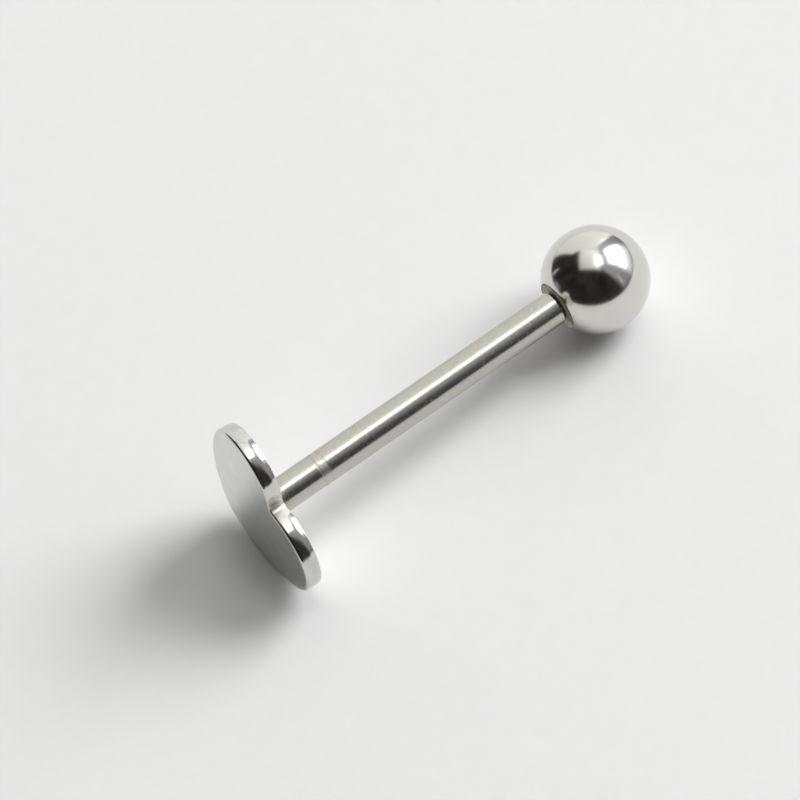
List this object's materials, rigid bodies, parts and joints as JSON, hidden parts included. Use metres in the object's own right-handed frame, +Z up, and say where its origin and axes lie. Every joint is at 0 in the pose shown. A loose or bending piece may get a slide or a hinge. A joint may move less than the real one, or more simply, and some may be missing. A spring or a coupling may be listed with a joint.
{
  "type": "tongue barbell",
  "caption": "Straight barbell for a tongue piercing: a round steel post with a flat heart soldered to its end and a ball that screws onto the other, lying as it rests on a surface.",
  "frame": {"origin": "on the surface that the barbell lies on, under the middle of its box", "axes": "+Z up, +X along the post from the heart towards the ball, which lies 3.3 degrees lower at its end, +Y across the post"},
  "size_m": [0.022, 0.0076, 0.0076],
  "materials": {
    "bar_steel": "polished, with a fine satin grain along the post",
    "ball_steel": "mirror polished"
  },
  "bodies": {
    "bar": {"heart_bar": "bar_steel"},
    "ball": {"ball": "ball_steel"}
  },
  "joints": [
    {"name": "ball_unscrews", "type": "slide", "parent": "bar", "child": "ball", "axis": [0.9983, 0, -0.0575], "range_m": [0, 0.005]}
  ]
}
